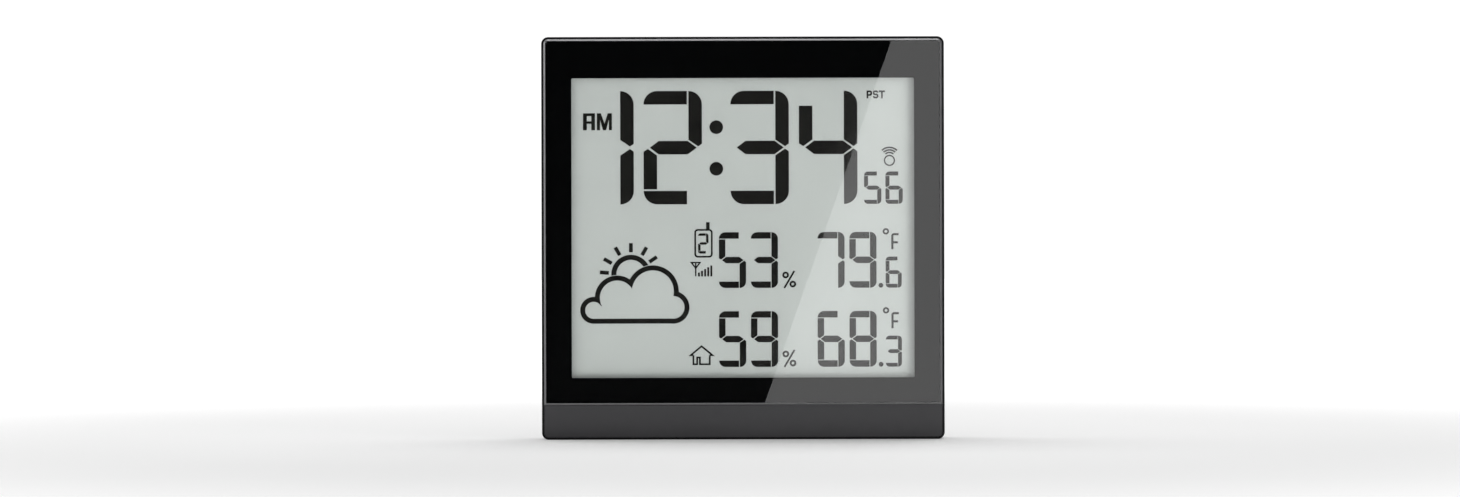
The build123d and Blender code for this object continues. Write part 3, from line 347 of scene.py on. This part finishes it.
def ceramic(name, deep, pale):
    """Sintered body with a sandy grain."""
    f = Finish(name)
    sand = f.noise(0.3, detail=5)
    return f.close(f.principled(Base_Color=f.blend(sand, deep, pale), Roughness=0.45,
                                Normal=f.bump(sand, 0.03, 0.5)))


def winding():
    """Enamelled copper wire wound in close turns along X."""
    f = Finish("copper_winding")
    turns = f.node("ShaderNodeTexWave", wave_type="BANDS", bands_direction="X")
    f.feed(turns, "Vector", f.scaled(0.9))
    f.feed(turns, "Scale", 1.0)
    colour = f.blend(turns.outputs["Fac"], rgb(0.22, 0.06, 0.02), rgb(0.62, 0.24, 0.09))
    return f.close(f.principled(Base_Color=colour, Metallic=0.8, Roughness=0.28,
                                Normal=f.bump(turns.outputs["Fac"], 0.12, 0.8)))


def battery_sleeve():
    """Cell sleeve: a dark band and a copper-coloured band, with plain steel ends."""
    f = Finish("battery_sleeve")
    band_at = 7.0 * MM
    ends_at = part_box("batteries")[1].x - 1.6 * MM
    scuffs = f.noise(1.2, detail=5, stretch=(4, 1, 1))
    band = f.spread(f.axis("X"), band_at, band_at + 0.05 * MM)
    sleeve = f.blend(band, rgb(0.015, 0.016, 0.018), rgb(0.42, 0.2, 0.07))
    ends = f.spread(f.math("ABSOLUTE", f.axis("X")), ends_at, ends_at + 0.1 * MM)
    colour = f.blend(ends, sleeve, rgb(0.6, 0.6, 0.6))
    return f.close(f.principled(Base_Color=colour, Metallic=0.6,
                                Roughness=f.spread(scuffs, 0.3, 0.7, 0.22, 0.4),
                                Normal=f.bump(scuffs, 0.01, 0.3)))


def ribbon():
    """Flat cable of parallel conductors."""
    f = Finish("ribbon_grey")
    wires = f.node("ShaderNodeTexWave", wave_type="BANDS", bands_direction="X")
    f.feed(wires, "Vector", f.scaled(2.0))
    f.feed(wires, "Scale", 1.0)
    colour = f.blend(wires.outputs["Fac"], rgb(0.2, 0.2, 0.21), rgb(0.42, 0.42, 0.43))
    return f.close(f.principled(Base_Color=colour, Roughness=0.5,
                                Normal=f.bump(wires.outputs["Fac"], 0.1, 0.8)))


dress(moulded("case_grey", rgb(0.039, 0.0385, 0.041), rgb(0.052, 0.051, 0.055), 0.42, depth=0.006),
      "lower_panel")
dress(moulded("frame_black", rgb(0.006, 0.006, 0.007), rgb(0.011, 0.011, 0.012), 0.3, depth=0.002,
              shine=0.15),
      "front_frame")
dress(moulded("cover_black", rgb(0.024, 0.024, 0.026), rgb(0.037, 0.037, 0.04), 0.46, grain=0.45,
              depth=0.03), "rear_cover")
dress(moulded("door_black", rgb(0.021, 0.021, 0.023), rgb(0.034, 0.034, 0.037), 0.42, grain=0.4,
              depth=0.025), "battery_door", "stand")
dress(moulded("holder_white", rgb(0.5, 0.5, 0.47), rgb(0.62, 0.62, 0.6), 0.45),
      "lcd_holder", "aerial_clips")
dress(moulded("sensor_white", rgb(0.6, 0.6, 0.57), rgb(0.75, 0.75, 0.73), 0.35, grain=0.2),
      "climate_sensor")
dress(moulded("switch_black", rgb(0.01, 0.01, 0.01), rgb(0.02, 0.02, 0.02), 0.3),
      "key_switches", "sounder")
dress(moulded("plunger_tan", rgb(0.36, 0.25, 0.15), rgb(0.5, 0.37, 0.24), 0.35),
      *[f"plunger_{name}" for name in KEY_NAMES])
dress(rubber("key_rubber", rgb(0.10, 0.10, 0.104), rgb(0.15, 0.15, 0.156), 0.55),
      *[f"key_{name}" for name in KEY_NAMES])
dress(trim_finish(), "lens_trim")
dress(clear_layer("lens_clear", 1.75, 0.0, 0.008), "front_lens")
dress(clear_layer("film_clear", 1.42, 0.06, 0.03, (0.99, 0.988, 0.99)), "lcd_front_film")
dress(clear_layer("glass_clear", 1.03, 0.02, 0.02, (0.99, 0.99, 0.99)), "lcd_front_glass")
dress(print_finish(), "lens_print")
dress(display_back(), "lcd_rear_glass", "lcd_reflector")
dress(segment_ink(), "lcd_segments")
dress(rubber("seal_grey", rgb(0.3, 0.3, 0.29), rgb(0.42, 0.42, 0.4), 0.5), "lcd_seal")
dress(rubber("foam_black", rgb(0.012, 0.012, 0.012), rgb(0.03, 0.03, 0.03), 0.9, 0.6),
      "lcd_gasket", "lens_tape")
dress(striped_rubber(), "contact_strip")
dress(circuit_board("board_green", rgb(0.008, 0.09, 0.03), rgb(0.015, 0.16, 0.05)),
      "main_board", "key_board", "sensor_board")
dress(circuit_board("board_blue", rgb(0.006, 0.03, 0.12), rgb(0.012, 0.06, 0.2)), "receiver_board")
dress(epoxy(), "controller_chips")
dress(ceramic("component_tan", rgb(0.3, 0.25, 0.17), rgb(0.45, 0.4, 0.3)), "board_components")
dress(ceramic("ferrite_grey", rgb(0.02, 0.02, 0.022), rgb(0.05, 0.05, 0.054)), "aerial_rod")
dress(winding(), "aerial_coil", "receiver_coil")
dress(satin_metal("nickel", rgb(0.5, 0.48, 0.43), rgb(0.66, 0.63, 0.58), 0.25, (1, 6, 1)),
      "battery_plates", "battery_springs", "clock_crystal")
dress(satin_metal("bright_steel", rgb(0.42, 0.42, 0.43), rgb(0.56, 0.56, 0.57), 0.22, (8, 1, 1)),
      "stand_pin", "holder_screws", "key_board_screws")
dress(satin_metal("black_oxide", rgb(0.03, 0.03, 0.033), rgb(0.06, 0.06, 0.065), 0.3),
      "case_screws")
dress(battery_sleeve(), "batteries")
dress(rubber("wire_red", rgb(0.3, 0.01, 0.008), rgb(0.4, 0.02, 0.015), 0.4), "battery_lead_red")
dress(rubber("wire_black", rgb(0.01, 0.01, 0.01), rgb(0.02, 0.02, 0.02), 0.4),
      "battery_lead_black")
dress(rubber("wire_grey", rgb(0.16, 0.16, 0.17), rgb(0.24, 0.24, 0.25), 0.4), "signal_leads")
dress(ribbon(), "key_ribbon")

# ---------------------------------------------------------------- studio

WHITE = 1.05  # brightness of the surroundings where the camera sees them
FILL = 0.42  # the same on matt surfaces
DARK = 0.003  # the same in mirrored light
GLOSS = 1.45  # brightness of the panel that the lens mirrors
FLOOR_REACH = 12.0
FLOOR_NEAR = 0.35  # the floor turns from lit to glowing between these distances
FLOOR_FAR = 1.1


def add_floor():
    """A plain pale floor, which turns as white as the surroundings further out."""
    corners = [(x, y, 0) for x, y in ((-1, -1), (1, -1), (1, 1), (-1, 1))]
    mesh = bpy.data.meshes.new("floor")
    mesh.from_pydata([Vector(corner) * FLOOR_REACH for corner in corners], [], [(0, 1, 2, 3)])
    floor = bpy.data.objects.new("floor", mesh)
    bpy.context.scene.collection.objects.link(floor)
    f = Finish("floor_white")
    grain = f.noise(6.0, detail=3)
    length = f.node("ShaderNodeVectorMath", operation="LENGTH")
    f.feed(length, "Vector", f.place)
    far = f.spread(length.outputs["Value"], FLOOR_NEAR, FLOOR_FAR, smooth=True)
    near = f.blend(grain, rgb(0.84, 0.84, 0.84), rgb(0.87, 0.87, 0.87))
    shader = f.principled(Base_Color=f.blend(far, near, rgb(0.3, 0.3, 0.3)), Roughness=0.8,
                          Emission_Color=rgb(1, 1, 1), Specular_IOR_Level=0.1,
                          Emission_Strength=f.spread(far, 0.0, 1.0, 0.15, 1.1))
    mesh.materials.append(f.close(shader))
    floor.location.z = cad_low.z
    floor.visible_glossy = False


def area_light(name, place, wide, tall, radiance):
    """A rectangular light, unseen by the camera, with a set brightness of its face."""
    data = bpy.data.lights.new(name, "AREA")
    data.shape = "RECTANGLE"
    data.size = wide
    data.size_y = tall
    data.energy = radiance * math.pi * wide * tall
    light = bpy.data.objects.new(name, data)
    light.location = place
    light.visible_camera = False
    bpy.context.scene.collection.objects.link(light)
    return light


def add_softbox(name, place, aim, wide, tall, radiance, mirrored=True):
    """A light at place, turned to aim."""
    light = area_light(name, place, wide, tall, radiance)
    light.rotation_mode = "QUATERNION"
    light.rotation_quaternion = (Vector(aim) - Vector(place)).to_track_quat("-Z", "Y")
    light.visible_glossy = mirrored


def add_gloss_card():
    """A bright panel behind the camera. The lens mirrors its slanted left edge across the display.

    The edge runs through two points of the lens, given as (x, z). Seen in the lens, a point of
    the panel's plane lies as far beyond the lens as the panel is in front of it.
    """
    behind = 0.4
    wide = 0.5
    tall = 1.4
    top_point = Vector((85.0 * MM, 227.8 * MM))
    low_point = Vector((12.0 * MM, 20.1 * MM))
    eye = Vector((camera.location.x, camera.location.z))
    stretch = 2 + behind / CAMERA_AWAY
    top = eye + (top_point - eye) * stretch
    low = eye + (low_point - eye) * stretch
    along = (top - low).normalized()
    right = Vector((along.y, -along.x))
    middle = (top + low) / 2 + right * wide / 2
    place = (middle.x, camera.location.y - behind, middle.y)
    light = area_light("gloss_card", place, wide, tall, GLOSS)
    light.rotation_euler = (math.pi / 2, math.atan2(along.x, along.y), 0)


def add_world():
    """Plain white round the set for the eye, a soft even fill for matt surfaces, dark for gloss."""
    world = bpy.data.worlds.new("studio")
    bpy.context.scene.world = world
    world.use_nodes = True
    tree = world.node_tree
    tree.nodes.clear()
    ray = tree.nodes.new("ShaderNodeLightPath")
    fill = tree.nodes.new("ShaderNodeMix")
    fill.data_type = "RGBA"
    fill.inputs[6].default_value = rgb(FILL, FILL, FILL)
    fill.inputs[7].default_value = rgb(DARK, DARK, DARK)
    seen = tree.nodes.new("ShaderNodeMix")
    seen.data_type = "RGBA"
    seen.inputs[7].default_value = rgb(WHITE, WHITE, WHITE)
    back = tree.nodes.new("ShaderNodeBackground")
    out = tree.nodes.new("ShaderNodeOutputWorld")
    tree.links.new(ray.outputs["Is Glossy Ray"], fill.inputs[0])
    tree.links.new(fill.outputs[2], seen.inputs[6])
    tree.links.new(ray.outputs["Is Camera Ray"], seen.inputs[0])
    tree.links.new(seen.outputs[2], back.inputs["Color"])
    tree.links.new(back.outputs[0], out.inputs["Surface"])


add_floor()
add_world()
add_gloss_card()
# Each has a place and an aim in metres, then its width, height and brightness
add_softbox("top_box", (0.0, 0.45, 1.5), CENTRE, 1.6, 0.8, 2.7)
add_softbox("left_box", (-1.5, 0.3, 0.6), CENTRE, 0.9, 1.0, 1.4)
add_softbox("right_key", (1.9, -1.5, 0.2), CENTRE, 1.0, 0.7, 9.2, mirrored=False)
add_softbox("floor_glow", (0.0, -0.15, 0.003), (0.0, -0.15, 1.0), 0.5, 0.24, 0.5)
add_softbox("back_box", (0.9, 2.4, 1.6), CENTRE, 1.4, 1.0, 1.6)

scene = bpy.context.scene
scene.view_settings.view_transform = "Standard"
scene.cycles.transparent_max_bounces = 24
